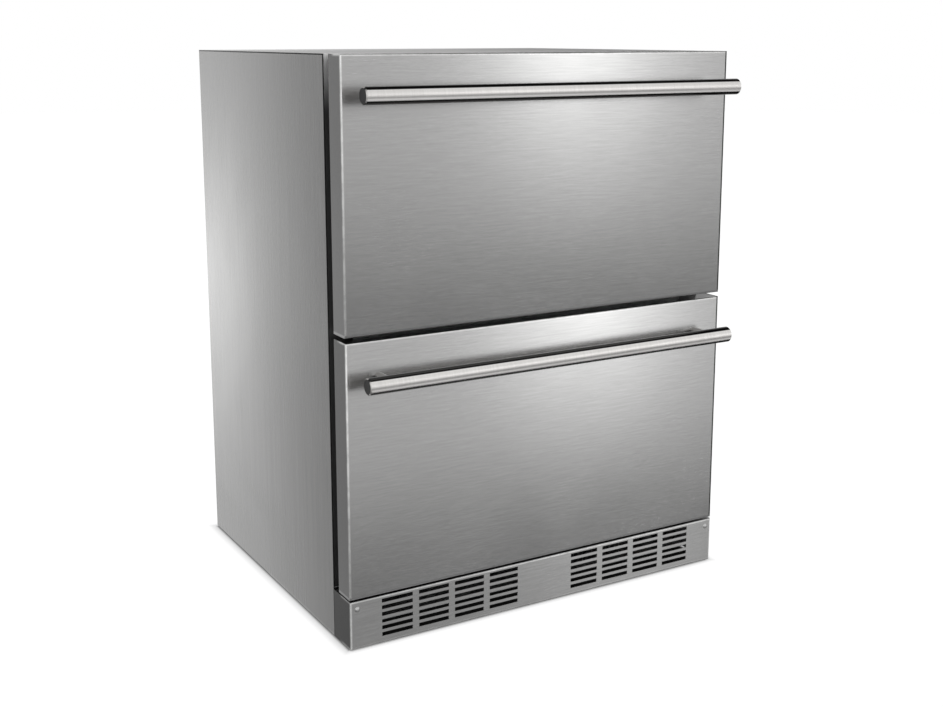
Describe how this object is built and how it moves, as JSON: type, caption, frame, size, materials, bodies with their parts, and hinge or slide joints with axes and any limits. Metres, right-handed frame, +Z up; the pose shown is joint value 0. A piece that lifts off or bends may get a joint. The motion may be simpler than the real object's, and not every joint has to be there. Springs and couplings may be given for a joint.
{
  "type": "undercounter drawer refrigerator",
  "caption": "Undercounter refrigerator with stacked full-width drawers, round bar handles, a slotted toe grille and levelling feet.",
  "frame": {"origin": "on the floor, under the middle of the box that the cabinet and its handles fill", "axes": "+Z up, +Y from the drawer fronts to the back, +X to the right as seen from the front"},
  "size_m": [0.686, 0.644, 0.875],
  "materials": {
    "stainless_cabinet": "stainless, upright grain",
    "stainless_front": "stainless, grain along the width",
    "stainless_polished": "polished",
    "screw_steel": "polished",
    "galvanised_steel": "galvanised, dull",
    "slide_steel": "zinc plated",
    "dark_steel": "dark grey, satin",
    "foam": "closed-cell foam, dull",
    "liner_plastic": "white, satin",
    "bin_plastic": "pale, satin",
    "duct_plastic": "white, dull",
    "gasket_rubber": "soft, dull",
    "coil_aluminium": "bare",
    "copper": "bare copper",
    "compressor_black": "black, semi-gloss",
    "motor_dark": "dark, satin",
    "fan_white": "white, dull",
    "fan_black": "black, dull",
    "control_plastic": "black, satin",
    "display_window": "dark, glossy",
    "button_plastic": "grey, satin",
    "light_diffuser": "opal",
    "dark_plastic": "black, dull",
    "tube_plastic": "pale, dull",
    "black_rubber": "dull"
  },
  "bodies": {
    "cabinet": {"left_side_panel": "stainless_cabinet", "right_side_panel": "stainless_cabinet", "top_panel": "stainless_cabinet", "rear_panel": "galvanised_steel", "bulkhead": "galvanised_steel", "base_pan": "galvanised_steel", "insulation": "foam", "inner_liner": "liner_plastic", "front_frame": "stainless_front", "centre_rail": "liner_plastic", "toe_grille": "stainless_front", "pan_screws": "screw_steel", "slide_outer_members": "slide_steel", "evaporator_coil": "coil_aluminium", "evaporator_duct": "duct_plastic", "evaporator_fan_motor": "motor_dark", "control_housing": "control_plastic", "control_display": "display_window", "light_bar": "light_diffuser", "compressor": "compressor_black", "compressor_mounts": "black_rubber", "start_box": "dark_plastic", "condenser_coil": "dark_steel", "air_divider": "galvanised_steel", "condenser_fan_motor": "motor_dark", "drain_pan": "dark_plastic", "drain_tube": "tube_plastic", "filter_drier": "copper", "refrigerant_lines": "copper", "machine_cover": "dark_steel", "cord_gland": "black_rubber", "foot_sockets": "slide_steel"},
    "upper_drawer": {"upper_front_skin": "stainless_front", "upper_front_core": "foam", "upper_inner_panel": "liner_plastic", "upper_gasket": "gasket_rubber", "upper_handle_bar": "stainless_polished", "upper_handle_posts": "stainless_polished", "upper_bin": "bin_plastic", "upper_inner_members": "slide_steel"},
    "upper_middle_slides": {"upper_middle_members": "slide_steel"},
    "lower_drawer": {"lower_front_skin": "stainless_front", "lower_front_core": "foam", "lower_inner_panel": "liner_plastic", "lower_gasket": "gasket_rubber", "lower_handle_bar": "stainless_polished", "lower_handle_posts": "stainless_polished", "lower_bin": "bin_plastic", "lower_inner_members": "slide_steel"},
    "lower_middle_slides": {"lower_middle_members": "slide_steel"},
    "evaporator_fan": {"evaporator_fan_blades": "fan_white"},
    "condenser_fan": {"condenser_fan_blades": "fan_black"},
    "power_key": {"power_button": "button_plastic"},
    "warmer_key": {"warmer_button": "button_plastic"},
    "colder_key": {"colder_button": "button_plastic"},
    "front_left_leveller": {"front_left_foot": "dark_plastic"},
    "front_right_leveller": {"front_right_foot": "dark_plastic"},
    "rear_left_leveller": {"rear_left_foot": "dark_plastic"},
    "rear_right_leveller": {"rear_right_foot": "dark_plastic"}
  },
  "joints": [
    {"name": "upper_drawer_slide", "type": "slide", "parent": "cabinet", "child": "upper_drawer", "axis": [0, -1, 0], "range_m": [0, 0.43]},
    {"name": "upper_middle_slide", "type": "slide", "parent": "cabinet", "child": "upper_middle_slides", "axis": [0, -1, 0], "range_m": [0, 0.215]},
    {"name": "lower_drawer_slide", "type": "slide", "parent": "cabinet", "child": "lower_drawer", "axis": [0, -1, 0], "range_m": [0, 0.43]},
    {"name": "lower_middle_slide", "type": "slide", "parent": "cabinet", "child": "lower_middle_slides", "axis": [0, -1, 0], "range_m": [0, 0.215]},
    {"name": "evaporator_fan_spin", "type": "hinge", "parent": "cabinet", "child": "evaporator_fan", "pos_m": [0, 0.244, 0.707], "axis": [0, 1, 0], "continuous": true},
    {"name": "condenser_fan_spin", "type": "hinge", "parent": "cabinet", "child": "condenser_fan", "pos_m": [0.02, 0.223, 0.0958], "axis": [1, 0, 0], "continuous": true},
    {"name": "power_key_press", "type": "slide", "parent": "cabinet", "child": "power_key", "axis": [0, 1, 0], "range_m": [0, 0.0012], "stiffness_N_per_m": 500, "springref_m": -0.001},
    {"name": "warmer_key_press", "type": "slide", "parent": "cabinet", "child": "warmer_key", "axis": [0, 1, 0], "range_m": [0, 0.0012], "stiffness_N_per_m": 500, "springref_m": -0.001},
    {"name": "colder_key_press", "type": "slide", "parent": "cabinet", "child": "colder_key", "axis": [0, 1, 0], "range_m": [0, 0.0012], "stiffness_N_per_m": 500, "springref_m": -0.001},
    {"name": "front_left_foot_height", "type": "slide", "parent": "cabinet", "child": "front_left_leveller", "axis": [0, 0, -1], "range_m": [0, 0.025]},
    {"name": "front_right_foot_height", "type": "slide", "parent": "cabinet", "child": "front_right_leveller", "axis": [0, 0, -1], "range_m": [0, 0.025]},
    {"name": "rear_left_foot_height", "type": "slide", "parent": "cabinet", "child": "rear_left_leveller", "axis": [0, 0, -1], "range_m": [0, 0.025]},
    {"name": "rear_right_foot_height", "type": "slide", "parent": "cabinet", "child": "rear_right_leveller", "axis": [0, 0, -1], "range_m": [0, 0.025]}
  ],
  "couplings": [
    {"joint": "upper_middle_slide", "follows": "upper_drawer_slide", "ratio": 0.5},
    {"joint": "lower_middle_slide", "follows": "lower_drawer_slide", "ratio": 0.5}
  ]
}
